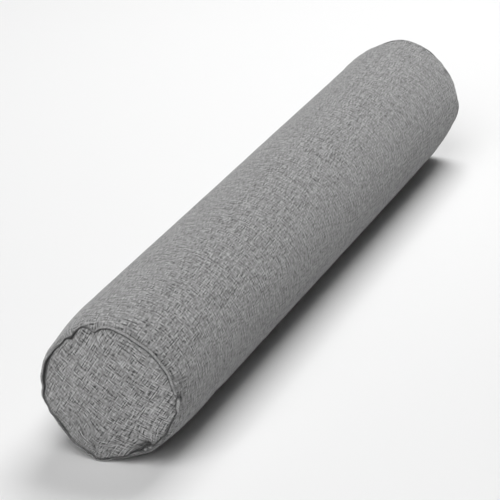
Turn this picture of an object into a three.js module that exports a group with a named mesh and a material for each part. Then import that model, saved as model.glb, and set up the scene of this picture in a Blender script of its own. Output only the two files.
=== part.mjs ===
// A round bolster pillow, to lie under the knees: a long filled tube of woven cloth, with a
// round panel sewn into each end and a fine piping of the same cloth in each end seam.
// Millimetres, +Z up. The pillow lies along X on the plane z = 0, pressed a little flat there,
// and the origin is the middle of the side that it lies on.
import * as THREE from "three";
import { mergeVertices } from "three/addons/utils/BufferGeometryUtils.js";

const DIAMETER = 150;
const SEAM_TO_SEAM = 994; // along X, between the planes of the two end seams
const PRESSED_IN = 3.3; // depth of the flat that the pillow lies on
const CROWN = 10; // how far the middle of an end panel stands out past its seam
const PANEL_THICKNESS = 1.8; // cloth and its turned-in edge
const PIPING_DIAMETER = 3;
const PIPING_PROUD = 0.2; // piping's middle, out past the seam's plane
const GAP = 0.3; // between pieces that touch

const STEPS_ROUND = 120; // round the axis, for every piece
const SHOULDER_ROWS = 8; // along the drawn-in end of the tube
const MIDDLE_ROWS = 3; // along the straight length between the two shoulders
const PIPING_SIDES = 6;
const PANEL_FACE_ROWS = [0, 0.3, 0.55, 0.78, 0.93, 1]; // shares of the panel's radius
const PANEL_BACK_ROWS = [0, 0.45, 0.8, 1];
const CROWN_POWER = 2.4; // 2 is a ball's cap, and more is flatter in the middle
const MERGE_WITHIN = 1e-4; // points closer than this are one

const RADIUS = DIAMETER / 2;
const AXIS_HEIGHT = RADIUS - PRESSED_IN;
const HALF_LENGTH = SEAM_TO_SEAM / 2;
const PIPING_RADIUS = PIPING_DIAMETER / 2;
const PANEL_EDGE_INSIDE = PIPING_RADIUS + GAP; // from the seam line in to the panel's edge
const PANEL_EDGE_BACK = PIPING_PROUD - PIPING_RADIUS; // the panel's back at its edge
const TUBE_END = PANEL_EDGE_BACK - GAP; // the tube's own end face at the seam

// Each end is drawn in to its seam. "seam" holds the unevenness of that sewn line, going round
// the axis with 0 at the top and 90 at the back: a row lets the line out (+) or draws it in (-)
// by "out" millimetres at the angle "at", fading to nothing "reach" degrees to either side.
const ENDS = {
  near: {
    side: -1,
    seamRadius: 66,
    shoulderLength: 80,
    fullness: 2.15,
    seam: [
      { at: -172, reach: 12, out: -0.6 },
      { at: -153, reach: 16, out: -1.8 },
      { at: -148, reach: 10, out: 0.6 },
      { at: -131, reach: 12, out: 1.6 },
      { at: -109, reach: 12, out: -2.7 },
      { at: -98, reach: 40, out: 6.2 },
      { at: -98, reach: 6, out: 0.6 },
      { at: -89, reach: 6, out: 1.6 },
      { at: -66, reach: 10, out: 0.9 },
      { at: -63, reach: 18, out: 1.1 },
      { at: -29, reach: 18, out: -1.6 },
      { at: -3, reach: 10, out: 1.6 },
      { at: 10.5, reach: 6, out: -3.4 },
      { at: 21, reach: 8, out: 2.5 },
      { at: 34.5, reach: 7, out: -2.6 },
      { at: 46, reach: 11, out: -2.5 },
      { at: 59, reach: 10, out: -0.6 },
      { at: 68, reach: 14, out: 1.2 },
      { at: 84, reach: 10, out: 0.8 },
      { at: 91, reach: 14, out: -1 },
      { at: 92, reach: 6, out: -0.7 },
      { at: 98, reach: 8, out: 0.9 },
      { at: 107, reach: 8, out: -1.2 },
      { at: 111, reach: 6, out: -1 },
      { at: 129, reach: 25, out: -5.4 },
      { at: 131, reach: 11, out: 1 },
      { at: 157, reach: 14, out: -1.2 },
      { at: 166.5, reach: 6, out: -1.4 },
      { at: 172, reach: 24, out: 2.4 },
    ],
  },
  far: {
    side: 1,
    seamRadius: 71,
    shoulderLength: 75,
    fullness: 2.1,
    seam: [
      { at: -150, reach: 16, out: -1.2 },
      { at: -136, reach: 30, out: -2.2 },
      { at: -112, reach: 46, out: -1.6 },
      { at: -97, reach: 18, out: 1.2 },
      { at: -74, reach: 20, out: -1.7 },
      { at: -58, reach: 40, out: -3.4 },
      { at: -40, reach: 14, out: -0.7 },
      { at: 2, reach: 26, out: 2.4 },
      { at: 42, reach: 18, out: 1.1 },
      { at: 60, reach: 30, out: -1.2 },
      { at: 88, reach: 6, out: -1.5 },
      { at: 110, reach: 18, out: 1.5 },
      { at: 135, reach: 6, out: -1.4 },
      { at: 150, reach: 24, out: -1.8 },
    ],
  },
};

const CLOTH_GREY = 0x8a8a8a;
const cloth = {
  tube: new THREE.MeshStandardMaterial({ color: CLOTH_GREY, roughness: 0.95, metalness: 0 }),
  panel: new THREE.MeshStandardMaterial({ color: CLOTH_GREY, roughness: 0.95, metalness: 0 }),
  piping: new THREE.MeshStandardMaterial({ color: CLOTH_GREY, roughness: 0.9, metalness: 0 }),
};

// Sum of the seam's rows at an angle in degrees: each is one smooth hump of a cosine.
function seamOffset(end, angle) {
  let out = 0;
  for (const row of end.seam) {
    const turn = (((angle - row.at + 180) % 360) + 360) % 360 - 180;
    if (Math.abs(turn) < row.reach) {
      out += (row.out / 2) * (1 + Math.cos((Math.PI * turn) / row.reach));
    }
  }
  return out;
}

// How much the end still draws the tube in, at a share of the shoulder's length from the seam:
// 1 at the seam and 0 where the tube is full, along a quarter of a superellipse.
function drawnIn(end, share) {
  const s = Math.min(Math.max(share, 0), 1);
  return 1 - (1 - (1 - s) ** end.fullness) ** (1 / end.fullness);
}

function panelEdge(end) {
  return end.seamRadius - PANEL_EDGE_INSIDE;
}

// How much a point follows the seam's unevenness. On the end face it grows as the square of the
// radius. Along the shoulder, a place drawn in fades sooner than one let out.
function followsSeam(end, radius, x, out) {
  const onFace = Math.min(1, (radius / panelEdge(end)) ** 2);
  const inward = HALF_LENGTH + TUBE_END - Math.abs(x);
  const onShoulder = drawnIn(end, inward / (end.shoulderLength + TUBE_END));
  return onFace * (out < 0 ? onShoulder ** 2 : onShoulder);
}

// Moves a piece that was turned round the X axis into the pillow's own uneven shape, and presses
// flat what would lie below the surface that the pillow rests on.
function settle(geometry) {
  const position = geometry.getAttribute("position");
  for (let i = 0; i < position.count; i++) {
    const x = position.getX(i);
    const radius = Math.hypot(position.getY(i), position.getZ(i));
    const angle = Math.atan2(position.getY(i), position.getZ(i));
    const end = x < 0 ? ENDS.near : ENDS.far;
    const out = seamOffset(end, THREE.MathUtils.radToDeg(angle));
    const settled = radius + out * followsSeam(end, radius, x, out);
    position.setY(i, settled * Math.sin(angle));
    position.setZ(i, Math.max(settled * Math.cos(angle), -AXIS_HEIGHT));
  }
  return geometry;
}

// Turns an outline of [radius, x] points round the X axis, as one closed skin.
function turned(outline) {
  const points = outline.map(([radius, x]) => new THREE.Vector2(radius, x));
  const lathe = new THREE.LatheGeometry(points, STEPS_ROUND).rotateZ(-Math.PI / 2);
  lathe.deleteAttribute("normal");
  lathe.deleteAttribute("uv");
  const skin = mergeVertices(lathe, MERGE_WITHIN);
  const corners = skin.index.array;
  const kept = [];
  for (let i = 0; i < corners.length; i += 3) {
    const [a, b, c] = [corners[i], corners[i + 1], corners[i + 2]];
    if (a !== b && b !== c && c !== a) kept.push(a, b, c);
  }
  skin.setIndex(kept);
  return skin;
}

// An end's outline is written as [radius, distance out past the seam's plane], and this puts it
// on the pillow's own X. The near end mirrors it, so there its order is reversed as well.
function atEnd(end, outline) {
  const placed = outline.map(([radius, out]) => [radius, end.side * (HALF_LENGTH + out)]);
  return end.side < 0 ? placed.reverse() : placed;
}

// Height of the panel's face past the seam's plane, at a share of its radius.
function crownAt(share) {
  const edge = PANEL_EDGE_BACK + PANEL_THICKNESS;
  return edge + (CROWN - edge) * (1 - share ** CROWN_POWER);
}

// Half of the tube's outline, from where the tube is full to the middle of its end face.
function tubeEndOutline(end) {
  const outline = [];
  for (let row = SHOULDER_ROWS; row > 0; row--) {
    const share = 1 - Math.cos((Math.PI / 2) * (row / SHOULDER_ROWS));
    const radius = RADIUS - (RADIUS - end.seamRadius) * drawnIn(end, share);
    outline.push([radius, TUBE_END - share * (end.shoulderLength + TUBE_END)]);
  }
  outline.push([end.seamRadius, TUBE_END]);
  for (const share of [...PANEL_BACK_ROWS].reverse()) {
    outline.push([share * panelEdge(end), crownAt(share) - PANEL_THICKNESS - GAP]);
  }
  return outline;
}

// The tube panel and the filling that it holds, as one solid.
function filledTube() {
  const near = atEnd(ENDS.near, tubeEndOutline(ENDS.near));
  const far = atEnd(ENDS.far, tubeEndOutline(ENDS.far));
  const from = near.at(-1)[1];
  const to = far[0][1];
  const middle = [];
  for (let row = 1; row <= MIDDLE_ROWS; row++) {
    middle.push([RADIUS, from + (to - from) * (row / (MIDDLE_ROWS + 1))]);
  }
  return turned([...near, ...middle, ...far]);
}

// A round of cloth, crowned by the filling behind it: its face, and its back one cloth below.
function endPanel(end) {
  const face = PANEL_FACE_ROWS.map((share) => [share * panelEdge(end), crownAt(share)]);
  const back = PANEL_BACK_ROWS.map((share) => [
    share * panelEdge(end),
    crownAt(share) - PANEL_THICKNESS,
  ]);
  return turned(atEnd(end, [...back, ...face.reverse()]));
}

// The piping that stands in the seam between the tube and the end panel.
function piping(end) {
  const ring = [];
  for (let side = 0; side <= PIPING_SIDES; side++) {
    const angle = (2 * Math.PI * (side % PIPING_SIDES)) / PIPING_SIDES;
    ring.push([
      end.seamRadius + PIPING_RADIUS * Math.cos(angle),
      PIPING_PROUD + PIPING_RADIUS * Math.sin(angle),
    ]);
  }
  return turned(atEnd(end, ring));
}

function piece(name, geometry, material) {
  const mesh = new THREE.Mesh(settle(geometry), material);
  mesh.name = name;
  return mesh;
}

const pillow = new THREE.Group();
pillow.position.z = AXIS_HEIGHT;
pillow.add(piece("filled_tube", filledTube(), cloth.tube));
for (const [place, end] of Object.entries(ENDS)) {
  const sewnEnd = new THREE.Group();
  sewnEnd.add(piece(`end_panel_${place}`, endPanel(end), cloth.panel));
  sewnEnd.add(piece(`piping_${place}`, piping(end), cloth.piping));
  pillow.add(sewnEnd);
}

const part = new THREE.Group();
part.add(pillow);

export default part;
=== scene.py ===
# %% [markdown]
# # A piped round bolster, to lie under the knees
# The pillow is a long tube of woven cloth, filled tight, with a round panel sewn into each end
# and a fine piping caught in each end seam. The construction model already holds its solids at
# their real size, so this lesson only dresses them: it loads the solids as a fixed frame, makes
# a finer surface for each one, gives every surface its cloth, and lights the result softly.

import bpy
import numpy as np
from mathutils import Matrix, Vector


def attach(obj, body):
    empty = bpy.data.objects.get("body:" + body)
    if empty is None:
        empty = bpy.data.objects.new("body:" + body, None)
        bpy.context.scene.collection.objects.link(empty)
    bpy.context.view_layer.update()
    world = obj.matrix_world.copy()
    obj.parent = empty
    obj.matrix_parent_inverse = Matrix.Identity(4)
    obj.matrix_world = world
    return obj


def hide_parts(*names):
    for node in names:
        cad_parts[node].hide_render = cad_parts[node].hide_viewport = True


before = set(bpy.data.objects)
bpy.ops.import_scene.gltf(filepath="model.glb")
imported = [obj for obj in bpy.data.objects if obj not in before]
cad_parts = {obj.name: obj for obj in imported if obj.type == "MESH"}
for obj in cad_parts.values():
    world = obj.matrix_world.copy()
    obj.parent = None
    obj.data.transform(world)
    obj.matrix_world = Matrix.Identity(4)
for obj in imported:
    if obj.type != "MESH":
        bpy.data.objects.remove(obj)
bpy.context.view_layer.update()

# %% [markdown]
# The camera stands low in front of one end, a little to the side, and looks along the pillow
# with a long lens, so that the far end comes out only a quarter smaller than the near one. Its
# place is set from the way it looks rather than from angles: three directions at right angles
# to each other make the columns of its rotation, which leaves no roll to guess.

# %% The camera
LENS_MM = 212.4
SENSOR_MM = 36.0
LOOKS_AT = Vector((-0.0836, 0.0, 0.0717))
CAMERA_DISTANCE = 3.155
CAMERA_BACK = Vector((-0.8862, -0.3076, 0.3465))
SEES_AS_FAR_AS = 100.0

camera = bpy.data.objects.new("camera", bpy.data.cameras.new("camera"))
bpy.context.scene.collection.objects.link(camera)
camera.data.sensor_width = SENSOR_MM
camera.data.lens = LENS_MM
camera.data.clip_end = SEES_AS_FAR_AS
back = CAMERA_BACK.normalized()
right = Vector((0.0, 0.0, 1.0)).cross(back).normalized()
up = back.cross(right)
camera.matrix_world = Matrix.Translation(LOOKS_AT + CAMERA_DISTANCE * back) @ Matrix(
    (right, up, back)
).transposed().to_4x4()
bpy.context.scene.camera = camera
print("camera at", [round(v, 3) for v in camera.matrix_world.translation])

# %% [markdown]
# Every size below is in millimetres, as a maker would write it, and becomes metres only where
# a surface is made. Angles go round the pillow's axis in degrees, from 0 at the top towards the
# back, so that 90 is the back and 180 the underside. Every ring of points starts where the tube
# is closed lengthwise, low on the back, so that the cloth's coordinates break there and nowhere
# else, as the real cloth does.

# %% Sizes
MM = 0.001
RADIUS = 75.0
PRESSED_IN = 3.3
HALF_LENGTH = 497.0
CROWN = 10.0
CROWN_POWER = 2.4
PANEL_THICKNESS = 1.8
PIPING_RADIUS = 1.5
PIPING_PROUD = 0.2
GAP = 0.3

AXIS_HEIGHT = RADIUS - PRESSED_IN
PANEL_EDGE_INSIDE = PIPING_RADIUS + GAP
PANEL_EDGE_BACK = PIPING_PROUD - PIPING_RADIUS
TUBE_END = PANEL_EDGE_BACK - GAP
STEPS_ROUND = 320
CLOSING_SEAM_AT = 150.0
angles = CLOSING_SEAM_AT + np.arange(STEPS_ROUND) * 360.0 / STEPS_ROUND
girth = 2 * np.pi * RADIUS
print("girth", round(girth), "mm, one step round", round(girth / STEPS_ROUND, 2), "mm")

# %% [markdown]
# A hand-guided seam wanders. Each end has a short table of humps that let the seam line out or
# draw it in, and every piece that meets at that seam reads the same table, which is what keeps
# tube, piping and panel together however uneven the line is. A noise function would wander too,
# but it couldn't put the tuck, the kink and the pocket where they belong. More such tables say
# where the piping is buried, crowded slim or left gaping, where a pocket opens beside it and
# where the filling is lean. The last entry scales the painted shade on the piping's flanks at that end.


# %% The uneven seams
SLIMMEST = 0.6


def table(columns, *rows):
    """Rows of numbers as an array whose columns have names."""
    return np.array(list(rows), dtype=[(name, float) for name in columns.split()])


near_end = {
    "side": -1.0,
    "seam_radius": 66.0,
    "shoulder": 80.0,
    "fullness": 2.15,
    "seam": table(
        "at reach out",
        (-172, 12, -0.6),
        (-153, 16, -1.8),
        (-148, 10, 0.6),
        (-141, 8, -1.3),
        (-131, 12, 1.6),
        (-109, 12, -2.7),
        (-98, 40, 6.2),
        (-98, 5, 0.6),
        (-89, 6, 1.6),
        (-66, 10, 0.9),
        (-63, 18, 1.1),
        (-29, 18, -1.6),
        (-3, 10, 1.6),
        (10.5, 6, -3.4),
        (21, 8, 2.5),
        (34.5, 7, -2.6),
        (46, 11, -2.5),
        (59, 10, -0.6),
        (68, 14, 1.2),
        (84, 10, 0.8),
        (91, 14, -1.0),
        (92, 5, -0.4),
        (98, 8, 0.5),
        (107, 8, -1.2),
        (111, 6, -1.0),
        (129, 25, -5.4),
        (131, 11, 1.0),
        (157, 14, -1.2),
        (166.5, 4, -2.0),
        (170.5, 14, 1.8),
        (172, 24, 2.4),
    ),
    "buried": table(
        "at reach out",
        (-164, 20, 0.9),
        (-141, 14, 2.2),
        (-114, 22, 1.6),
        (-85.3, 3, 1.0),
        (33, 32, 1.6),
    ),
    "slim": table(
        "at reach out",
        (112, 26, 0.4),
        (140, 48, 0.6),
        (180, 26, 0.5),
        (-85.3, 2.5, 0.4),
        (-91, 6, -0.35),
    ),
    "lean": table("at reach out", (-128, 30, 0.3), (54, 16, 1.4)),
    "gapes": table("at reach out", (75, 22, 1.2), (32, 8, 0.8), (134, 13, 0.8), (-147, 16, 1.0)),
    "pockets": table("at reach out", (-91, 7, 1.2), (-145, 17, 1.0), (-172, 44, 0.8)),
    # Painted shade on the piping's flanks, at full strength at this end.
    "piping_painted_shade": 1.0,
}
far_end = {
    "side": 1.0,
    "seam_radius": 71.0,
    "shoulder": 75.0,
    "fullness": 2.1,
    "seam": table(
        "at reach out",
        (-150, 16, -1.2),
        (-136, 30, -2.2),
        (-112, 46, -1.6),
        (-97, 18, 1.2),
        (-74, 20, -1.7),
        (-58, 40, -3.4),
        (-40, 14, -0.7),
        (2, 26, 2.4),
        (42, 18, 1.1),
        (60, 30, -1.2),
        (88, 6, -1.5),
        (110, 18, 1.5),
        (135, 6, -1.4),
        (150, 24, -1.8),
    ),
    "buried": table("at reach out", (-20, 95, 4.0), (160, 16, 1.5)),
    "slim": table("at reach out", (90, 30, 0.2)),
    "lean": table("at reach out", (-136, 34, 2.4), (48, 30, -0.9)),
    "gapes": table("at reach out", (-150, 20, 0.6)),
    "pockets": table("at reach out", (-150, 12, 0.6)),
    # Painted shade on the piping's flanks, at about a third of full strength at this end.
    "piping_painted_shade": 0.35,
}


def humps(rows, angle):
    """The sum of a table's humps at each angle: each is its height times half of (1 + cosine)
    from its middle to its reach, and nothing past it."""
    turn = np.abs((angle[..., None] - rows["at"] + 180.0) % 360.0 - 180.0)
    shape = 0.5 * (1.0 + np.cos(np.pi * np.clip(turn / rows["reach"], 0.0, 1.0)))
    return (rows["out"] * shape).sum(axis=-1)


def seam_offset(end, angle):
    """How far the seam line stands out from its mean circle at each angle."""
    return humps(end["seam"], angle)


def buried(end, angle):
    """1 where the cloth on both sides closes over the piping, 0 where the piping stands free."""
    return np.clip(humps(end["buried"], angle), 0.0, 1.0)


def slim(end, angle):
    """Share of its radius by which the piping is thinner, where the panel's edge crowds it out,
    or thicker where that is negative."""
    return np.clip(humps(end["slim"], angle), -SLIMMEST, SLIMMEST)


def opened(end, side, angle):
    """0 where the seam is snug, up to 1 where it stands open: on the panel's side of the piping
    for "gapes" and on the tube's side for "pockets"."""
    return np.clip(humps(end[side], angle), 0.0, 1.0)


for end_name, end in (("near", near_end), ("far", far_end)):
    offset = seam_offset(end, angles)
    print(end_name, "seam wanders from", round(offset.min(), 1), "to", round(offset.max(), 1), "mm")

# %% [markdown]
# The filled tube is drawn in to each seam along a soft shoulder. A superellipse gives that
# shoulder with two numbers: its length, and a power that makes it fuller or slacker. The seam's
# wander then fades along the shoulder, and faster where the cloth is drawn in than where it is
# let out, because tight cloth pulls straight again sooner. In the last few millimetres the cloth
# rolls down to its stitches, which leaves the groove that sets the piping off.


# %% The shoulder and how it follows the seam
GROOVE_DEPTH = 2.3
GROOVE_WIDTH = 4.0
GROOVE_SHUT = 0.8
POCKET_DEEPER = 0.6


def drawn_in(end, share):
    """1 at the seam and 0 where the tube is full: one minus a quarter superellipse."""
    full = np.clip(share, 0.0, 1.0)
    power = end["fullness"]
    return 1.0 - (1.0 - (1.0 - full) ** power) ** (1.0 / power)


def settle(end, radius, out, angle):
    """Radius after the seam's wander. On the end's face the wander grows with the square of the
    radius, and inward along the shoulder it fades as the shoulder does. Where the filling is
    lean, the shoulder itself is slimmer by half a sine wave of the root of the way along it."""
    offset = seam_offset(end, angle)
    on_face = np.minimum(1.0, (radius / (end["seam_radius"] - PANEL_EDGE_INSIDE)) ** 2)
    along = np.clip((TUBE_END - out) / (end["shoulder"] + TUBE_END), 0.0, 1.0)
    on_shoulder = drawn_in(end, along)
    fade = np.where(offset < 0.0, on_shoulder**2, on_shoulder)
    lean = humps(end["lean"], angle) * np.sin(np.pi * np.sqrt(along))
    return radius + offset * on_face * fade - lean


def groove(end, out, angle):
    """How deep the tube's cloth dips to its stitches: the depth times the square of what is left
    of the groove's width. It is shallower where the piping is buried, and wider and deeper in a
    pocket."""
    pocket = opened(end, "pockets", angle)
    left = np.clip(1.0 - (TUBE_END - out) / (GROOVE_WIDTH * (1.0 + pocket)), 0.0, 1.0)
    shut = GROOVE_SHUT * buried(end, angle) * (1.0 - pocket)
    return GROOVE_DEPTH * left**2 * (1.0 - shut + POCKET_DEEPER * pocket)


def round_axis(end, radius, out, angle):
    """Points in metres: out past the seam's plane along X, and at a radius and angle round the
    axis, with nothing lower than the surface that the pillow lies on."""
    turn = np.radians(angle)
    x = end["side"] * (HALF_LENGTH + out) + 0.0 * radius
    y = radius * np.sin(turn)
    z = np.maximum(AXIS_HEIGHT + radius * np.cos(turn), 0.0)
    return MM * np.stack(np.broadcast_arrays(x, y, z), axis=-1)


def on_axis(end, out):
    """The point in metres on the pillow's axis, out past the seam's plane."""
    return MM * np.array([end["side"] * (HALF_LENGTH + out), 0.0, AXIS_HEIGHT])


for end_name, end in (("near", near_end), ("far", far_end)):
    halfway = RADIUS - (RADIUS - end["seam_radius"]) * float(drawn_in(end, 0.5))
    print(end_name, "shoulder is", round(halfway, 1), "mm in radius halfway along")

# %% [markdown]
# Every piece here is a skin turned round the pillow's axis: rings of points, closed round, with
# a single point at each end of the profile. One helper makes the mesh for all of them. The
# cloth's own coordinates go into the UV map in metres, so a weave keeps its true scale and
# follows the cloth wherever it is pulled, which object coordinates could not do.


# %% From rings of points to a mesh
def new_piece(name, points, faces, corner_uv):
    """A mesh object from points in metres, faces, and one cloth coordinate for each corner."""
    mesh = bpy.data.meshes.new(name)
    mesh.from_pydata(points.tolist(), [], faces)
    cloth = mesh.uv_layers.new(name="cloth")
    cloth.data.foreach_set("uv", np.ascontiguousarray(corner_uv, dtype=np.float32).ravel())
    mesh.polygons.foreach_set("use_smooth", np.ones(len(mesh.polygons), dtype=bool))
    mesh.validate()
    piece = bpy.data.objects.new(name, mesh)
    bpy.context.scene.collection.objects.link(piece)
    return piece


def turned_skin(name, poles, rings, uv, pole_uv):
    """A closed skin. rings is rows by columns of points from the low-X pole to the high-X one,
    and uv has one more column, so that the cloth's coordinate can run on where the ring closes."""
    rows, columns = rings.shape[:2]
    here = 1 + np.arange(rows * columns).reshape(rows, columns)
    beside = np.roll(here, -1, axis=1)
    quads = np.stack([here[:-1], here[1:], beside[1:], beside[:-1]], axis=-1).reshape(-1, 4)
    quad_uv = np.stack([uv[:-1, :-1], uv[1:, :-1], uv[1:, 1:], uv[:-1, 1:]], axis=2).reshape(-1, 2)
    low = np.stack([np.zeros(columns, dtype=int), here[0], beside[0]], axis=-1)
    low_pole = np.broadcast_to(pole_uv[0], (columns, 2))
    low_uv = np.stack([low_pole, uv[0, :-1], uv[0, 1:]], axis=1).reshape(-1, 2)
    last = np.full(columns, 1 + rows * columns)
    high = np.stack([here[-1], last, beside[-1]], axis=-1)
    high_pole = np.broadcast_to(pole_uv[1], (columns, 2))
    high_uv = np.stack([uv[-1, :-1], high_pole, uv[-1, 1:]], axis=1).reshape(-1, 2)
    points = np.vstack([poles[0], rings.reshape(-1, 3), poles[1]])
    faces = quads.tolist() + low.tolist() + high.tolist()
    piece = new_piece(name, points, faces, np.vstack([quad_uv, low_uv, high_uv]))
    print(name, len(points), "points", 2 * len(quads) + 2 * columns, "triangles")
    return piece


# %% [markdown]
# Sewing leaves marks in the cloth near a seam: small troughs where spare cloth is caught, and
# ridges beside them. Each is drawn as a soft stroke along a few points on the cloth, deeper at
# one end than at the other. Strokes in a list are easy to place, and quicker to change
# than a sculpted mesh.


# %% Creases along lines on the cloth
def creases(strokes, a, b):
    """Height of the cloth in mm. A stroke is its width, its height at the start and at the end,
    and the points of a line on the cloth; it falls off as a Gaussian of the distance from it."""
    height = np.zeros(np.broadcast(a, b).shape)
    for width, first, last, *points in strokes:
        line = np.array(points, dtype=float)
        nearest = np.full(height.shape, np.inf)
        along = np.zeros(height.shape)
        for number, (start, stop) in enumerate(zip(line[:-1], line[1:])):
            run = stop - start
            share = ((a - start[0]) * run[0] + (b - start[1]) * run[1]) / (run @ run)
            share = np.clip(share, 0.0, 1.0)
            away = np.hypot(a - start[0] - share * run[0], b - start[1] - share * run[1])
            closer = away < nearest
            nearest = np.where(closer, away, nearest)
            along = np.where(closer, (number + share) / (len(line) - 1), along)
        height += (first + (last - first) * along) * np.exp(-((nearest / width) ** 2))
    return height


# %% [markdown]
# Where a seam pulls at the cloth, the threads of the weave bend too. That is drawn into the
# cloth's coordinates: near a pull, the cloth that lies at a point has come from a little way back
# against the pull. Deep in a seam and in the troughs of creases the colour is darkened as painted
# shade, because little light gets there, and so it is in small patches of painted shade where the
# stitches gape and under the near seam. Each point carries that painted shade as a number, which
# the cloth's material reads.


# %% Pulled threads, and painted shade in hollows and where stitches gape
HOLLOW_DEEP = 4.0
HOLLOW_DARKEST = 0.8
HOLLOW_GROWS = 1.5


def pulled(pulls, a, b):
    """Shift of the cloth's coordinates in mm: each pull is subtracted with a Gaussian of the
    distance from its middle."""
    shift = np.zeros(np.broadcast(a, b).shape + (2,))
    for pull in pulls:
        near = np.exp(-((a - pull["at_a"]) ** 2 + (b - pull["at_b"]) ** 2) / pull["reach"] ** 2)
        shift -= near[..., None] * np.array([pull["by_a"], pull["by_b"]])
    return shift


def hollow(raised):
    """Painted shade of a hollow: a share of one where it is deep, and less by a power of its depth
    where it is shallow."""
    return HOLLOW_DARKEST * np.clip(-raised / HOLLOW_DEEP, 0.0, 1.0) ** HOLLOW_GROWS


def shade_patches(rows, a, b):
    """Painted shade in patches where the stitches gape and where the cloth under a seam lies in shade:
    each is a Gaussian, longer one way.
    """
    shade = np.zeros(np.broadcast(a, b).shape)
    for row in rows:
        away = ((a - row["at_a"]) / row["reach_a"]) ** 2 + ((b - row["at_b"]) / row["reach_b"]) ** 2
        shade = np.maximum(shade, row["dark"] * np.exp(-away))
    return shade


def darken(piece, shade):
    """Gives each point of a piece its seam_shade, the painted shade its material mixes in, from 0 for
    open cloth to 1 deep in a seam.
    """
    layer = piece.data.attributes.new("seam_shade", "FLOAT", "POINT")
    layer.data.foreach_set("value", np.ascontiguousarray(shade, dtype=np.float32).ravel())
    print(piece.name, "has", int((shade > 0.5).sum()), "of", shade.size, "points deep in a seam")


# %% [markdown]
# The tube's profile is a list of stations from the middle of one end face, which stays a few
# millimetres behind the panel so that the panel's folds have room, out to the seam,
# along the shoulder to the full tube, and so on to the other end. The stations stand close
# where the shoulder turns and wide along the straight length, so the mesh is fine only where
# the shape needs it.

# %% The tube's stations
HIDDEN_FACE = np.array([0.3, 0.6, 0.85, 0.95, 0.985])
HIDDEN_ROOM = np.array([5.0, 5.0, 5.0, 4.4, 0.8])
SHOULDER_STATIONS = 64
MIDDLE_STATIONS = 110


def crown_at(share):
    """Height of an end panel's face past the seam's plane, at a share of its radius: the crown
    times one minus a power of the share."""
    edge = PANEL_EDGE_BACK + PANEL_THICKNESS
    return edge + (CROWN - edge) * (1.0 - share**CROWN_POWER)


def end_stations(end):
    """Radius and out of one end's stations, from the middle of its hidden face to the full tube."""
    panel_edge = end["seam_radius"] - PANEL_EDGE_INSIDE
    face_radius = HIDDEN_FACE * panel_edge
    face_out = crown_at(HIDDEN_FACE) - PANEL_THICKNESS - HIDDEN_ROOM
    share = 1.0 - np.cos(np.linspace(0.0, np.pi / 2, SHOULDER_STATIONS))
    radius = RADIUS - (RADIUS - end["seam_radius"]) * drawn_in(end, share)
    out = TUBE_END - share * (end["shoulder"] + TUBE_END)
    return np.concatenate([face_radius, radius]), np.concatenate([face_out, out])


near_radius, near_out = end_stations(near_end)
far_radius, far_out = end_stations(far_end)
middle_x = np.linspace(
    -(HALF_LENGTH + near_out[-1]), HALF_LENGTH + far_out[-1], MIDDLE_STATIONS + 2
)[1:-1]
print("stations:", len(near_out), "near,", len(middle_x), "middle,", len(far_out), "far")

# %% [markdown]
# Cloth that is filled tight still isn't a perfect surface: the weave gives a little here and
# there, and the girth that is eased into the seam buckles into faint puckers. A short cloth
# simulation makes both. It works on a coarse copy of the skin whose seam points are pinned,
# with pressure inside, no gravity and a little slack, and only its quicker unevenness round each
# ring is kept, capped, and carried over to the fine skin. The sewn details come afterwards,
# because a coarse cloth could not hold them.

# %% A cloth simulation on a coarse copy
SIM_COLUMNS = 96
SIM_FRAMES = 20
SIM_PRESSURE = 4.0
SIM_SLACK = 0.02
SIM_SEED = 7
SIM_START_NOISE = 0.15
SLOW_WAVES = 5
SMOOTHING_PASSES = 4

coarse_angles = CLOSING_SEAM_AT + np.arange(SIM_COLUMNS) * 360.0 / SIM_COLUMNS


def coarse_faces(rows, columns):
    """Quads between rings, and a fan to the point at each end."""
    here = 1 + np.arange(rows * columns).reshape(rows, columns)
    beside = np.roll(here, -1, axis=1)
    quads = np.stack([here[:-1], here[1:], beside[1:], beside[:-1]], axis=-1).reshape(-1, 4)
    last = 1 + rows * columns
    low = [[0, int(a), int(b)] for a, b in zip(here[0], beside[0])]
    high = [[int(a), last, int(b)] for a, b in zip(here[-1], beside[-1])]
    return quads.tolist() + low + high


def inflated(name, rings, poles, pinned_rows, outward):
    """How far each ring's points stand out when the skin is blown up as cloth, in mm, along
    their own outward direction. Every point of a pinned row stays."""
    rows, columns = rings.shape[:2]
    shaken = np.random.default_rng(SIM_SEED).normal(0.0, SIM_START_NOISE * MM, rings.shape)
    shaken[pinned_rows] = 0.0
    points = np.vstack([poles[0], (rings + shaken).reshape(-1, 3), poles[1]])
    mesh = bpy.data.meshes.new(name)
    mesh.from_pydata(points.tolist(), [], coarse_faces(rows, columns))
    coarse = bpy.data.objects.new(name, mesh)
    bpy.context.scene.collection.objects.link(coarse)
    pins = coarse.vertex_groups.new(name="pins")
    pinned = 1 + np.arange(rows * columns).reshape(rows, columns)[pinned_rows].ravel()
    pins.add([0, *pinned.tolist(), len(points) - 1], 1.0, "REPLACE")
    cloth = coarse.modifiers.new("cloth", "CLOTH")
    cloth.settings.vertex_group_mass = "pins"
    cloth.settings.use_pressure = True
    cloth.settings.uniform_pressure_force = SIM_PRESSURE
    cloth.settings.shrink_min = -SIM_SLACK
    cloth.settings.effector_weights.gravity = 0.0
    cloth.collision_settings.use_collision = False
    cloth.point_cache.frame_start = 1
    cloth.point_cache.frame_end = SIM_FRAMES
    for step in range(1, SIM_FRAMES + 1):
        bpy.context.scene.frame_set(step)
    settled = coarse.evaluated_get(bpy.context.evaluated_depsgraph_get()).to_mesh()
    moved = np.empty(len(points) * 3)
    settled.vertices.foreach_get("co", moved)
    move = (moved.reshape(-1, 3) - points)[1:-1].reshape(rows, columns, 3)
    bpy.data.objects.remove(coarse)
    bpy.context.scene.frame_set(1)
    return (move * outward).sum(axis=-1) / MM


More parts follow.
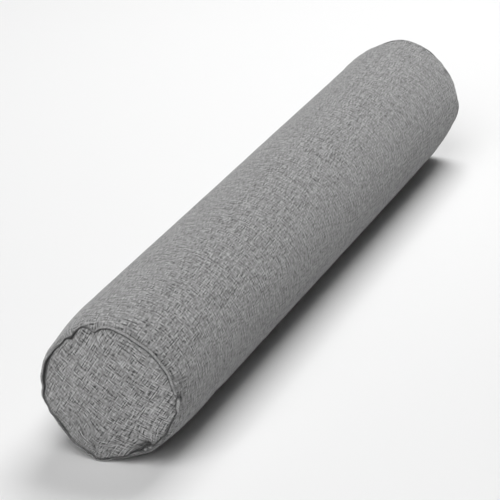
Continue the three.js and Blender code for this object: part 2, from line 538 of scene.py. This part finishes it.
def uneven_part(field, cap):
    """What is left of each ring when its mean and its slow waves are taken off, so that the
    girth and the flat underside stay as they were."""
    waves = np.fft.rfft(field, axis=1)
    waves[:, :SLOW_WAVES] = 0.0
    return np.clip(np.fft.irfft(waves, n=field.shape[1], axis=1), -cap, cap)


def carried_over(field, from_rows, to_rows, columns):
    """The coarse field on the fine skin: straight lines between rows and between columns, then
    a few passes that give each point a quarter of each neighbour."""
    down = np.stack([np.interp(to_rows, from_rows, column) for column in field.T], axis=1)
    place = np.arange(columns) * field.shape[1] / columns
    low = place.astype(int)
    part = (place - low)[None, :]
    fine = down[:, low] * (1.0 - part) + down[:, (low + 1) % field.shape[1]] * part
    for _ in range(SMOOTHING_PASSES):
        fine = 0.5 * fine + 0.25 * (np.roll(fine, 1, axis=1) + np.roll(fine, -1, axis=1))
        fine[1:-1] = 0.5 * fine[1:-1] + 0.25 * (fine[:-2] + fine[2:])
    return fine


# %% [markdown]
# Now the tube itself. Its rings come from the stations, the simulated give is added, then the
# creases that the sewing left. The lengthwise closing seam is a fine trough low on the back,
# where a maker would turn it.

# %% The filled tube's surface
TUBE_CAP = 2.5
CLOSING_SEAM_WIDTH = 1.3
CLOSING_SEAM_DEPTH = 0.9
FADES_INTO_SEAM = 3.0
STATIONS_PER_COARSE_ROW = 6
DARK_UNTIL = 2.2
OPEN_FROM = 3.4
DARK_UNTIL_SHUT = 0.4
OPEN_FROM_SHUT = 1.4
POCKET_DARKER = 2.4

near_tube_strokes = [
    (3.0, -1.1, -0.2, (3, 15), (15, 17)),
    (4.0, 0.9, 0.2, (3, 23), (13, 27)),
    (2.4, -4.4, -1.4, (2, -111), (8, -113), (15, -115)),
    (2.2, -4.0, -3.0, (8, -117), (9, -121)),
    (3.0, -1.8, -0.5, (2, -119), (4, -124), (7, -130)),
]
far_tube_strokes = [
    (4.0, -0.9, -0.2, (2, 36), (13, 38)),
    (4.0, -0.9, -0.2, (2, 115), (13, 118)),
]
# Patches of painted shade: where the far seam's stitches gape, and on the cloth that lies in shade
# under the near seam.
far_tube_shade_patches = table(
    "at_a at_b reach_a reach_b dark",
    (11, -31, 8, 2.4, 1.0),
    (10, -53, 6, 2.0, 0.5),
    (12, -70, 10, 3.6, 1.0),
    (11, -107, 8, 2.2, 1.0),
)
near_tube_shade_patches = table(
    "at_a at_b reach_a reach_b dark",
    (3, -188, 10, 22, 0.7),
    (3, -225, 9, 26, 0.55),
    (3, 228, 9, 26, 0.45),
)
near_tube_pulls = table(
    "at_a at_b by_a by_b reach",
    (6, 13, 5.0, 0.0, 12),
    (8, -112, 4.0, 0.0, 12),
)


def tube_rings(station_radius, station_out, end, angle):
    """One end's rings: each station settled to the seam's wander, at every angle."""
    radius, out, turn = station_radius[:, None], station_out[:, None], angle[None, :]
    in_wall = np.arange(len(station_out))[:, None] >= len(HIDDEN_FACE)
    settled = settle(end, radius, out, turn) - np.where(in_wall, groove(end, out, turn), 0.0)
    return round_axis(end, settled, out, turn)


def whole_tube(angle):
    """All rings from the near pole to the far one, and the two poles."""
    near = tube_rings(near_radius, near_out, near_end, angle)
    middle = round_axis(
        far_end, np.full((len(middle_x), 1), RADIUS), middle_x[:, None] - HALF_LENGTH, angle[None, :]
    )
    far = tube_rings(far_radius, far_out, far_end, angle)[::-1]
    hidden_crown = crown_at(0.0) - PANEL_THICKNESS - HIDDEN_ROOM[0]
    poles = [on_axis(end, hidden_crown) for end in (near_end, far_end)]
    return np.concatenate([near, middle, far]), poles


tube, tube_poles = whole_tube(angles)
seam_row = len(HIDDEN_FACE)
outward = np.stack(
    [np.zeros(STEPS_ROUND), np.sin(np.radians(angles)), np.cos(np.radians(angles))], axis=-1
)
steps = np.linalg.norm(np.diff(tube[:, 0], axis=0), axis=-1)
along_tube = np.concatenate([[0.0], np.cumsum(steps)]) / MM
along_tube -= along_tube[seam_row]
tube_length = along_tube[-1 - seam_row]
print("cloth from seam to seam", round(tube_length), "mm")

coarse_rows = np.r_[
    0:seam_row,
    seam_row : len(near_out) : STATIONS_PER_COARSE_ROW,
    len(near_out) : len(near_out) + len(middle_x),
    len(tube) - len(far_out) : len(tube) - seam_row : STATIONS_PER_COARSE_ROW,
    len(tube) - seam_row : len(tube),
]
coarse_turn = np.radians(coarse_angles)
coarse_tube, _ = whole_tube(coarse_angles)
coarse_outward = np.stack([0.0 * coarse_turn, np.sin(coarse_turn), np.cos(coarse_turn)], axis=-1)
from_seam = np.minimum(along_tube, tube_length - along_tube)
pinned_rows = from_seam[coarse_rows] <= 0.0
give = inflated("tube_give", coarse_tube[coarse_rows], tube_poles, pinned_rows, coarse_outward)
give = uneven_part(give, TUBE_CAP)
fine_give = carried_over(give, along_tube[coarse_rows], along_tube, STEPS_ROUND)
tube = tube + MM * fine_give[..., None] * outward
print("the tube gives up to", round(float(np.abs(give).max()), 1), "mm")

# %% Creases and the closing seam
signed_angles = (angles + 180.0) % 360.0 - 180.0
round_cloth = (np.radians(signed_angles) * RADIUS)[None, :]
from_near, from_far = along_tube[:, None], tube_length - along_tube[:, None]
raised = creases(near_tube_strokes, from_near, round_cloth)
raised += creases(far_tube_strokes, from_far, round_cloth)
hollow_shade = hollow(raised)
beside_seam = np.radians((angles - CLOSING_SEAM_AT + 180.0) % 360.0 - 180.0) * RADIUS
raised -= CLOSING_SEAM_DEPTH * np.exp(-((beside_seam / CLOSING_SEAM_WIDTH) ** 2))[None, :]
raised *= np.clip(np.minimum(from_near, from_far) / FADES_INTO_SEAM, 0.0, 1.0)
tube = tube + MM * raised[..., None] * outward
tube[..., 2] = np.maximum(tube[..., 2], 0.0)

# %% The tube's cloth coordinates and the painted shade at its seams
uv_angles = np.append(angles, CLOSING_SEAM_AT + 360.0)
uv_round = np.radians((uv_angles + 180.0) % 360.0 - 180.0)[None, :] * RADIUS
uv_girth = (np.radians(uv_angles) * RADIUS)[None, :]
tube_uv = np.stack(np.broadcast_arrays(from_near, uv_girth), axis=-1)
tube_uv = MM * (tube_uv + pulled(near_tube_pulls, from_near, uv_round))


def beside_piping(end, arc, angle):
    """Painted shade of the tube's cloth beside its seam, at an arc's length from the stitches: 1 as
    far as the groove is deep, then straight down to 0. A buried piping leaves less of it, and a
    pocket more."""
    pocket = opened(end, "pockets", angle)
    shut = buried(end, angle) * (1.0 - pocket)
    dark = DARK_UNTIL + (DARK_UNTIL_SHUT - DARK_UNTIL) * shut + POCKET_DARKER * pocket
    open_from = OPEN_FROM + (OPEN_FROM_SHUT - OPEN_FROM) * shut + POCKET_DARKER * pocket
    return np.clip((open_from - arc) / (open_from - dark), 0.0, 1.0)


# Painted shade on the tube: in crease troughs, beside the piping at each end, where the far seam's
# stitches gape and under the near seam.
tube_shade = hollow_shade
for end, arc, rows in ((near_end, from_near, near_tube_shade_patches), (far_end, from_far, far_tube_shade_patches)):
    tube_shade = np.maximum(tube_shade, beside_piping(end, arc, angles))
    tube_shade = np.maximum(tube_shade, shade_patches(rows, arc, round_cloth))

# %% The filled tube's mesh
tube_cloth = turned_skin(
    "tube_cloth", tube_poles, tube, tube_uv, (tube_uv[0].mean(axis=0), tube_uv[-1].mean(axis=0))
)
darken(tube_cloth, np.concatenate([[0.0], tube_shade.ravel(), [0.0]]))
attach(tube_cloth, "root")
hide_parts("filled_tube")

# %% [markdown]
# An end panel is one round of cloth, pushed out by the filling. Its face bows as a flat-topped
# crown, rolls down steeply over the last few millimetres into the seam, and carries the marks
# of its sewing: where spare cloth was caught it lies in troughs that point at the seam. It is
# a thin closed skin, with a back, so that its edge casts a true shadow onto the piping.

# %% The end panels' surfaces
FACE_ROWS = 84
BACK_SHARE = np.array([1.0, 0.98, 0.96, 0.94, 0.91, 0.87, 0.8, 0.7, 0.6, 0.45])
EDGE_ROLL_WIDTH = 5.0
EDGE_ROLL_DEPTH = 1.6
EDGE_DARK_UNTIL = 0.3
EDGE_OPEN_FROM = 1.3
EDGE_SHUT = 0.5
OVER_PIPING = 0.9
GAPE_IN = 1.1
GAPE_DARKER = 1.0
PANEL_CAP = 2.5
PANEL_COARSE_ROWS = 14
BEHIND_PANEL = 9.0
ROWS_CROWD_TO_EDGE = 1.25

near_panel_strokes = [
    (2.6, -1.3, -0.2, (3, 60), (-2, 53)),
    (2.2, -3.2, -0.6, (-71, 8), (-66, 4), (-60, -3)),
    (4.0, -3.4, -4.4, (-28, -56), (-36, -51.5), (-42, -46.5)),
    (5.0, -1.6, -0.4, (-38, -47), (-36, -37)),
    (6.0, 1.8, 1.0, (8, -42), (-7, -39), (-24, -42)),
    (3.0, -2.2, -0.4, (12.5, -61), (13.5, -52), (14, -42)),
    (3.0, -1.6, -0.4, (14, -55), (27, -34), (42, -21), (57, 3)),
    (4.5, 1.2, 0.3, (20, -52), (34, -37), (50, -12)),
    (5.0, -1.2, -0.6, (48, -32), (34, -48)),
]
far_panel_strokes = [
    (4.0, -1.2, -0.4, (36, 56), (30, 48)),
    (4.0, -1.0, -0.4, (60, -8), (50, -6)),
    (4.0, -1.2, -0.5, (-50, -44), (-43, -37)),
]
near_panel_pulls = table(
    "at_a at_b by_a by_b reach",
    (11.5, -49.5, 6.2, -9.6, 19),
    (-19, -7, 2.0, -3.0, 38),
    (-39, -46, -5.0, -3.0, 15),
    (9, 62, 0.0, 4.0, 11),
)
far_panel_pulls = table("at_a at_b by_a by_b reach", (36, 54, 3.0, 4.0, 12))

face_share = 1.0 - (1.0 - np.arange(1, FACE_ROWS + 1) / FACE_ROWS) ** ROWS_CROWD_TO_EDGE


def panel_out(end, share, on_face):
    """Face: the crown, less a roll that drops ever faster over the last millimetres to the edge.
    Back: the crown less the panel's thickness."""
    panel_edge = end["seam_radius"] - PANEL_EDGE_INSIDE
    into_roll = np.clip(1.0 - (1.0 - share) * panel_edge / EDGE_ROLL_WIDTH, 0.0, 1.0)
    rolled = EDGE_ROLL_DEPTH * into_roll**2
    return crown_at(share) - np.where(on_face, rolled, PANEL_THICKNESS)


def end_panel(name, node, end, strokes, pulls):
    """One end panel as a closed skin, its cloth coordinates flat across the face."""
    panel_edge = end["seam_radius"] - PANEL_EDGE_INSIDE
    share = np.concatenate([face_share, BACK_SHARE])[:, None]
    on_face = np.arange(len(share))[:, None] < FACE_ROWS
    turn = angles[None, :]
    grown = seam_offset(end, turn) + OVER_PIPING * buried(end, turn)
    gape = opened(end, "gapes", turn)
    grown = grown + 2.0 * PIPING_RADIUS * slim(end, turn) - GAPE_IN * gape
    radius = share * panel_edge + grown * share**2
    a, b = radius * np.sin(np.radians(turn)), radius * np.cos(np.radians(turn))
    from_edge = (1.0 - share) * panel_edge
    raised = creases(strokes, a, b)
    hollow_shade = hollow(raised)
    raised = raised + panel_give(name, end, share[:, 0])
    raised = raised * np.clip(from_edge / FADES_INTO_SEAM, 0.0, 1.0)
    out = panel_out(end, share, on_face) + raised
    rings = round_axis(end, radius, out, turn)
    middle = [on_axis(end, float(row.mean())) for row in (out[0], out[-1])]
    flat = MM * (np.stack([a, b], axis=-1) + pulled(pulls, a, b))
    flat = np.concatenate([flat, flat[:, :1]], axis=1)
    # Painted shade at the panel's edge, wider where the seam gapes and narrower where the piping is
    # buried, and in the troughs of its creases.
    snug = 1.0 - EDGE_SHUT * buried(end, turn) * (1.0 - gape)
    dark_until = EDGE_DARK_UNTIL * snug + GAPE_DARKER * gape
    open_from = EDGE_OPEN_FROM * snug + GAPE_DARKER * gape
    edge_shade = np.clip((open_from - from_edge) / (open_from - dark_until), 0.0, 1.0)
    shade = np.maximum(edge_shade, hollow_shade)
    if end["side"] > 0:
        rings, flat, shade, middle = rings[::-1], flat[::-1], shade[::-1], middle[::-1]
    panel = turned_skin(name, middle, rings, flat, (np.zeros(2), np.zeros(2)))
    darken(panel, np.concatenate([[0.0], shade.ravel(), [0.0]]))
    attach(panel, "root")
    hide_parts(node)
    return panel


def panel_give(name, end, share):
    """How far the simulated panel stands out or in from its mean crown, in mm, at each share
    and angle. The panel is pinned at its edge and blown up from its crowned shape, closed
    behind by a cone to one point so that it holds the pressure."""
    coarse_share = np.linspace(0.0, 1.0, PANEL_COARSE_ROWS + 1)[1:]
    panel_edge = end["seam_radius"] - PANEL_EDGE_INSIDE
    column, turn = coarse_share[:, None], coarse_angles[None, :]
    radius = column * panel_edge + seam_offset(end, turn) * column**2
    face = round_axis(end, radius, crown_at(column) + 0.0 * turn, turn)
    poles = [on_axis(end, out) for out in (CROWN, -BEHIND_PANEL)]
    rings = face
    if end["side"] > 0:
        rings, poles = face[::-1], poles[::-1]
    pinned = np.arange(len(rings)) == (len(rings) - 1 if end["side"] < 0 else 0)
    give = inflated(name + "_give", rings, poles, pinned, np.array([end["side"], 0.0, 0.0]))
    give = uneven_part(give if end["side"] < 0 else give[::-1], PANEL_CAP)
    print(name, "gives up to", round(float(np.abs(give).max()), 1), "mm")
    return carried_over(give, coarse_share, share, STEPS_ROUND)


near_panel = end_panel(
    "end_panel_near_cloth", "end_panel_near", near_end, near_panel_strokes, near_panel_pulls
)
far_panel = end_panel(
    "end_panel_far_cloth", "end_panel_far", far_end, far_panel_strokes, far_panel_pulls
)

# %% [markdown]
# The piping is a bias strip of the same cloth folded over a fine cord. It follows the seam line
# exactly, swells and thins a little as hand-fed cord does, and is lifted out of the seam or sunk
# in it at a few places that another short table names. Where it is buried it carries painted
# shade, and where a lift brings it out of that again, a small bare dot of it shows. Its flanks
# carry painted shade as well, and its palest yarn is set paler than the rest as a painted
# highlight along its crest.

# %% The two pipings
PIPING_SIDES = 16
PIPING_STEPS = 640
PIPING_WAVES = table("waves phase share", (23, 0.4, 0.03), (57, 1.9, 0.03), (131, 0.7, 0.035))

SUNK_WHERE_BURIED = 0.8
THINNER_WHERE_BURIED = 0.5
CREST_AT = 60.0
CREST_OPEN = 0.8
CREST_DARK = 0.3

near_piping_lift = table(
    "at reach out",
    (-142.8, 1.9, 1.8),
    (-138.0, 1.9, 1.8),
    (-85.3, 2.5, -0.8),
    (-150, 8, -1.2),
    (-170, 14, -0.8),
    (15, 9, -0.6),
    (-92, 8, 0.7),
)
far_piping_lift = table("at reach out", (30, 8, -1.0), (88, 8, -0.9), (-150, 20, -0.8))


def piping(name, node, end, lift_rows):
    """A closed ring of round section, carried along the seam line. Its radius is the piping's
    own times one plus a few small sine waves round the ring, and less where it is buried. Its
    flanks carry painted shade, which rises as a point turns away from the crest, which lies between
    straight away from the axis, 0 degrees, and straight out of the end, 90; where it is buried it
    carries painted shade all round. A lift of 1 mm or more leaves it bare, and a factor for each
    end scales all of its painted shade."""
    turn = (np.arange(PIPING_STEPS) * 360.0 / PIPING_STEPS)[None, :]
    around = (np.arange(PIPING_SIDES) * 2.0 * np.pi / PIPING_SIDES)[:, None]
    waves = sum(
        row["share"] * np.sin(row["waves"] * np.radians(turn) + row["phase"]) for row in PIPING_WAVES
    )
    bump = humps(lift_rows, turn)
    sunk = buried(end, turn) * (1.0 - np.clip(bump, 0.0, 1.0))
    thin = slim(end, turn)
    thick = PIPING_RADIUS * (1.0 + waves) * (1.0 - THINNER_WHERE_BURIED * sunk) * (1.0 - thin)
    line = end["seam_radius"] + seam_offset(end, turn) + PIPING_RADIUS * thin
    lift = bump - SUNK_WHERE_BURIED * sunk
    out = PIPING_PROUD + lift + end["side"] * thick * np.sin(around)
    # Painted shade on the piping: its flanks darken as they turn from the crest, and it darkens all
    # round where it is buried.
    from_crest = end["side"] * around - np.radians(CREST_AT)
    flank = np.clip((CREST_OPEN - np.cos(from_crest)) / (CREST_OPEN - CREST_DARK), 0.0, 1.0)
    shade = end["piping_painted_shade"] * np.maximum(flank + 0.0 * turn, sunk)
    rings = round_axis(end, line + thick * np.cos(around), out, turn)
    ring_angle = np.append(turn[0], 360.0)
    section_length = np.append(around[:, 0], 2.0 * np.pi) * PIPING_RADIUS
    uv = MM * np.stack(
        np.broadcast_arrays(
            np.radians(ring_angle)[None, :] * end["seam_radius"], section_length[:, None]
        ),
        axis=-1,
    )
    rows, columns = rings.shape[:2]
    here = np.arange(rows * columns).reshape(rows, columns)
    above, beside = np.roll(here, -1, axis=0), np.roll(here, -1, axis=1)
    both = np.roll(above, -1, axis=1)
    faces = np.stack([here, above, both, beside], axis=-1).reshape(-1, 4).tolist()
    corner_uv = np.stack([uv[:-1, :-1], uv[1:, :-1], uv[1:, 1:], uv[:-1, 1:]], axis=2)
    ring = new_piece(name, rings.reshape(-1, 3), faces, corner_uv.reshape(-1, 2))
    darken(ring, shade)
    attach(ring, "root")
    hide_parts(node)
    centre = rings.mean(axis=0)
    cord_length = np.linalg.norm(centre - np.roll(centre, 1, axis=0), axis=-1).sum() / MM
    print(name, 2 * len(faces), "triangles, cord", round(float(cord_length)), "mm long")
    return ring


near_piping = piping("piping_near_cord", "piping_near", near_end, near_piping_lift)
far_piping = piping("piping_far_cord", "piping_far", far_end, far_piping_lift)

# %% [markdown]
# The cloth is a plain weave of uneven yarn: each yarn has its own grey, and along its length it
# runs through thick pale slubs and thin dark stretches. At every crossing one yarn lies over the
# other. All three cloths here share that, so it is one node group. It works from the cloth's own
# coordinates in metres: dividing by the yarn pitch and taking whole numbers gives each yarn an
# index, noise sampled at that index gives the yarn its own run of slubs, and whether the two
# indices add up to an even number decides which yarn is on top, though the one below still
# shows through by a share. A yarn is then set off against the two beside it, because that
# contrast is what the eye picks out of such a cloth. Rareness strengthens the greys that are
# more than a quarter from the middle and draws in the rest, so that dark and pale stretches
# are few and stand out.


# %% Small helpers for node trees
def maths(tree, operation, *values):
    """A Math node; each value is a number or another node's socket."""
    node = tree.nodes.new("ShaderNodeMath")
    node.operation = operation
    for socket, value in zip(node.inputs, values):
        if isinstance(value, (int, float)):
            socket.default_value = value
        else:
            tree.links.new(value, socket)
    return node.outputs[0]


def noise_at(tree, x, y, label, detail):
    """Smooth noise at two computed coordinates, from about 0 to about 1."""
    place = tree.nodes.new("ShaderNodeCombineXYZ")
    tree.links.new(x, place.inputs[0])
    tree.links.new(y, place.inputs[1])
    noise = tree.nodes.new("ShaderNodeTexNoise")
    noise.noise_dimensions = "2D"
    noise.label = label
    noise.inputs["Scale"].default_value = 1.0
    noise.inputs["Detail"].default_value = detail
    tree.links.new(place.outputs[0], noise.inputs["Vector"])
    return noise.outputs[0]


def yarn_grey(tree, index, run, evenness, row_step):
    """The grey of the yarn with this index at a place along it: its slubs mixed with a grey that
    is its own all along."""
    own_row = maths(tree, "MULTIPLY", index, row_step)
    slubs = noise_at(tree, run, own_row, "slubs along a yarn", 1.0)
    own = tree.nodes.new("ShaderNodeTexWhiteNoise")
    own.noise_dimensions = "1D"
    tree.links.new(own_row, own.inputs["W"])
    mix = tree.nodes.new("ShaderNodeMix")
    tree.links.new(evenness, mix.inputs["Factor"])
    tree.links.new(slubs, mix.inputs["A"])
    tree.links.new(own.outputs["Value"], mix.inputs["B"])
    return mix.outputs["Result"]


# %% The weave as a node group
SWAYS_PER_METRE = 120.0
RUN_APART = 40.0
ROW_STEP = 17.31
ROW_STEP_APART = 4.7
RARE_FROM = 0.25

WEAVE_INPUTS = (
    ("Warp Pitch", 0.0012),
    ("Weft Pitch", 0.0012),
    ("Warp Slub", 0.008),
    ("Weft Slub", 0.008),
    ("Wander", 0.0005),
    ("Evenness", 0.12),
    ("Set Off", 0.4),
    ("Rareness", 0.4),
    ("Contrast", 3.0),
    ("Top Yarn", 0.6),
)


def weave_group():
    """The plain weave: place on the cloth in, yarn shade and height out."""
    tree = bpy.data.node_groups.new("plain_weave", "ShaderNodeTree")
    face = tree.interface
    face.new_socket("Cloth Place", in_out="INPUT", socket_type="NodeSocketVector")
    for name, value in WEAVE_INPUTS:
        face.new_socket(name, in_out="INPUT", socket_type="NodeSocketFloat").default_value = value
    face.new_socket("Yarn Shade", in_out="OUTPUT", socket_type="NodeSocketFloat")
    face.new_socket("Height", in_out="OUTPUT", socket_type="NodeSocketFloat")
    given = tree.nodes.new("NodeGroupInput").outputs
    made = tree.nodes.new("NodeGroupOutput").inputs
    parts = tree.nodes.new("ShaderNodeSeparateXYZ")
    tree.links.new(given["Cloth Place"], parts.inputs[0])
    shades, bumps, indices = [], [], []
    for number, (yarn, across, along) in enumerate((("Weft", 0, 1), ("Warp", 1, 0))):
        run = maths(tree, "DIVIDE", parts.outputs[along], given[yarn + " Slub"])
        run = maths(tree, "ADD", run, RUN_APART * (number + 1))
        sway_place = maths(tree, "MULTIPLY", parts.outputs[across], SWAYS_PER_METRE)
        sway = noise_at(tree, run, sway_place, "wander of the yarns", 1.0)
        sway = maths(tree, "MULTIPLY", maths(tree, "SUBTRACT", sway, 0.5), given["Wander"])
        placed = maths(tree, "ADD", parts.outputs[across], sway)
        counted = maths(tree, "DIVIDE", placed, given[yarn + " Pitch"])
        index = maths(tree, "FLOOR", counted)
        indices.append(index)
        row_step = ROW_STEP + ROW_STEP_APART * number
        neighbours = [maths(tree, "ADD", index, step) for step in (-1.0, 0.0, 1.0)]
        greys = [
            yarn_grey(tree, neighbour, run, given["Evenness"], row_step) for neighbour in neighbours
        ]
        beside = maths(tree, "MULTIPLY", maths(tree, "ADD", greys[0], greys[2]), 0.5)
        level = maths(tree, "MULTIPLY", maths(tree, "SUBTRACT", beside, 0.5), given["Set Off"])
        apart = maths(tree, "SUBTRACT", maths(tree, "SUBTRACT", greys[1], 0.5), level)
        size = maths(tree, "DIVIDE", maths(tree, "ABSOLUTE", apart), RARE_FROM)
        tail = maths(tree, "MULTIPLY", maths(tree, "SUBTRACT", size, 1.0), given["Rareness"])
        shades.append(maths(tree, "MULTIPLY", apart, maths(tree, "ADD", tail, 1.0)))
        bumps.append(maths(tree, "SINE", maths(tree, "MULTIPLY", maths(tree, "FRACT", counted), np.pi)))
    parity = maths(tree, "FLOORED_MODULO", maths(tree, "ADD", indices[0], indices[1]), 2.0)
    below = maths(tree, "SUBTRACT", 1.0, given["Top Yarn"])
    span = maths(tree, "SUBTRACT", given["Top Yarn"], below)
    share = maths(tree, "ADD", below, maths(tree, "MULTIPLY", parity, span))
    first = maths(tree, "MULTIPLY", shades[0], share)
    second = maths(tree, "MULTIPLY", shades[1], maths(tree, "SUBTRACT", 1.0, share))
    both = maths(tree, "MULTIPLY", maths(tree, "ADD", first, second), given["Contrast"])
    tree.links.new(maths(tree, "ADD", both, 0.5), made["Yarn Shade"])
    tree.links.new(maths(tree, "MULTIPLY", bumps[0], bumps[1]), made["Height"])
    return tree


plain_weave = weave_group()
print("weave group inputs", [s.name for s in plain_weave.interface.items_tree if s.in_out == "INPUT"])

# %% [markdown]
# Each cloth is then a plain principled shader: the yarn's shade picks a grey between a dark and
# a pale one, each point's painted shade darkens it in seams, hollows and gaps, the height bumps
# the surface, and a little sheen stands for the fuzz that catches light at a glancing angle.

# %% The cloth materials
DARK_YARN = (0.044, 0.044, 0.044, 1.0)
PALE_YARN = (0.44, 0.44, 0.44, 1.0)
# Painted highlight: the piping's palest yarn, paler than the cloth's own for the light along its crest.
PIPING_PAINTED_HIGHLIGHT = (0.54, 0.54, 0.54, 1.0)
# Painted shade: the colour that seams, hollows and gaps are mixed towards.
IN_SEAM = (0.02, 0.02, 0.02, 1.0)
SEAM_DARKNESS = 0.85
BUMP = 0.5
YARN_HEIGHT = 0.3
CLOTH_FINISH = {
    "Roughness": 0.9,
    "Specular IOR Level": 0.2,
    "Sheen Weight": 0.25,
    "Sheen Roughness": 0.5,
}


def colour_mix(tree, factor, first, second):
    """A Mix node between two colours, each a plain colour or another node's socket."""
    node = tree.nodes.new("ShaderNodeMix")
    node.data_type = "RGBA"
    tree.links.new(factor, node.inputs["Factor"])
    for name, value in (("A", first), ("B", second)):
        if isinstance(value, tuple):
            node.inputs[name].default_value = value
        else:
            tree.links.new(value, node.inputs[name])
    return node.outputs["Result"]


def cloth_material(name, turned, weave_values, pale):
    """A woven cloth. turned is the weave's angle on the cloth's own coordinates, in degrees,
    weave_values are the group's own inputs by name, and pale is its palest yarn, which for the
    piping is set paler as a painted highlight."""
    material = bpy.data.materials.new(name)
    material.use_nodes = True
    tree = material.node_tree
    shader = tree.nodes["Principled BSDF"]
    cloth_place = tree.nodes.new("ShaderNodeUVMap")
    cloth_place.uv_map = "cloth"
    turn = tree.nodes.new("ShaderNodeMapping")
    turn.inputs["Rotation"].default_value = (0.0, 0.0, np.radians(turned))
    tree.links.new(cloth_place.outputs[0], turn.inputs["Vector"])
    weave = tree.nodes.new("ShaderNodeGroup")
    weave.node_tree = plain_weave
    tree.links.new(turn.outputs[0], weave.inputs["Cloth Place"])
    for input_name, value in weave_values.items():
        weave.inputs[input_name].default_value = value
    seam = tree.nodes.new("ShaderNodeAttribute")
    seam.attribute_name = "seam_shade"
    # Painted shade: seam_shade mixes the colour towards near black in seams, hollows and gaps.
    in_seam = maths(tree, "MULTIPLY", seam.outputs["Fac"], SEAM_DARKNESS)
    yarns = colour_mix(tree, weave.outputs["Yarn Shade"], DARK_YARN, pale)
    tree.links.new(colour_mix(tree, in_seam, yarns, IN_SEAM), shader.inputs["Base Color"])
    relief = tree.nodes.new("ShaderNodeBump")
    relief.inputs["Strength"].default_value = BUMP
    relief.inputs["Distance"].default_value = YARN_HEIGHT * MM
    tree.links.new(weave.outputs["Height"], relief.inputs["Height"])
    tree.links.new(relief.outputs[0], shader.inputs["Normal"])
    for input_name, value in CLOTH_FINISH.items():
        shader.inputs[input_name].default_value = value
    print(name, {key: round(value, 4) for key, value in weave_values.items()})
    return material


# %% A cloth for each piece
tube_weave = {
    "Warp Pitch": 1.15 * MM,
    "Weft Pitch": 1.95 * MM,
    "Warp Slub": 9.5 * MM,
    "Weft Slub": 7 * MM,
    "Top Yarn": 0.56,
    "Contrast": 3.0,
}
panel_weave = {
    "Warp Pitch": 1.05 * MM,
    "Weft Pitch": 1.05 * MM,
    "Warp Slub": 7.5 * MM,
    "Weft Slub": 7.5 * MM,
    "Top Yarn": 0.54,
    "Contrast": 3.4,
}
piping_weave = {"Warp Pitch": 0.9 * MM, "Weft Pitch": 0.9 * MM, "Contrast": 1.3}

for name, turned, weave_values, pale, pieces in (
    ("grey_weave_tube", -3.7, tube_weave, PALE_YARN, (tube_cloth,)),
    ("grey_weave_panel_near", 57.0, panel_weave, PALE_YARN, (near_panel,)),
    ("grey_weave_panel_far", 35.0, panel_weave, PALE_YARN, (far_panel,)),
    ("grey_weave_piping", 45.0, piping_weave, PIPING_PAINTED_HIGHLIGHT, (near_piping, far_piping)),
):
    material = cloth_material(name, turned, weave_values, pale)
    for piece in pieces:
        piece.data.materials.append(material)

# %% [markdown]
# The studio is a pale floor under three broad soft lights. They stand beyond the two ends of the
# pillow rather than at its sides, so the light runs along the tube: its back and top are bright,
# the long face turned to the camera is an even grey, and it darkens towards the underside. The
# one beyond the far end stands nearer, which brightens that end of the tube.

# %% Floor
FLOOR_HALF = 30.0
FLOOR_GREY = (0.80, 0.80, 0.80, 1.0)
FLOOR_ROUGHNESS = 0.8

floor_mesh = bpy.data.meshes.new("floor")
corners = [(FLOOR_HALF * x, FLOOR_HALF * y, 0.0) for x, y in ((-1, -1), (1, -1), (1, 1), (-1, 1))]
floor_mesh.from_pydata(corners, [], [(0, 1, 2, 3)])
floor = bpy.data.objects.new("floor", floor_mesh)
bpy.context.scene.collection.objects.link(floor)
floor_finish = bpy.data.materials.new("pale_floor")
floor_finish.use_nodes = True
floor_shader = floor_finish.node_tree.nodes["Principled BSDF"]
floor_shader.inputs["Base Color"].default_value = FLOOR_GREY
floor_shader.inputs["Roughness"].default_value = FLOOR_ROUGHNESS
floor_mesh.materials.append(floor_finish)

# %% Lights
LIGHT_SPREAD = 0.625
LIT_MIDDLE = Vector((0.0, 0.0, 0.07))
SURROUND_STRENGTH = 0.02

lights = table(
    "azimuth elevation distance power",
    (0, 55, 2.8, 71),
    (180, 55, 4.0, 76),
    (180, 25, 4.0, 58),
)

world = bpy.data.worlds.new("surround")
bpy.context.scene.world = world
world.use_nodes = True
surround = world.node_tree.nodes["Background"]
surround.inputs["Color"].default_value = (1, 1, 1, 1)
surround.inputs["Strength"].default_value = SURROUND_STRENGTH
bpy.context.scene.view_settings.view_transform = "Standard"

for number, row in enumerate(lights):
    azimuth, elevation = np.radians(row["azimuth"]), np.radians(row["elevation"])
    towards = Vector(
        (np.cos(elevation) * np.cos(azimuth), np.cos(elevation) * np.sin(azimuth), np.sin(elevation))
    )
    name = f"soft_light_{number}"
    light = bpy.data.objects.new(name, bpy.data.lights.new(name, "AREA"))
    light.data.size = LIGHT_SPREAD * row["distance"]
    light.data.energy = row["power"]
    light.location = LIT_MIDDLE + float(row["distance"]) * towards
    light.rotation_euler = towards.to_track_quat("Z", "Y").to_euler()
    bpy.context.scene.collection.objects.link(light)
    print(light.name, "stands at", [round(v, 2) for v in light.location])
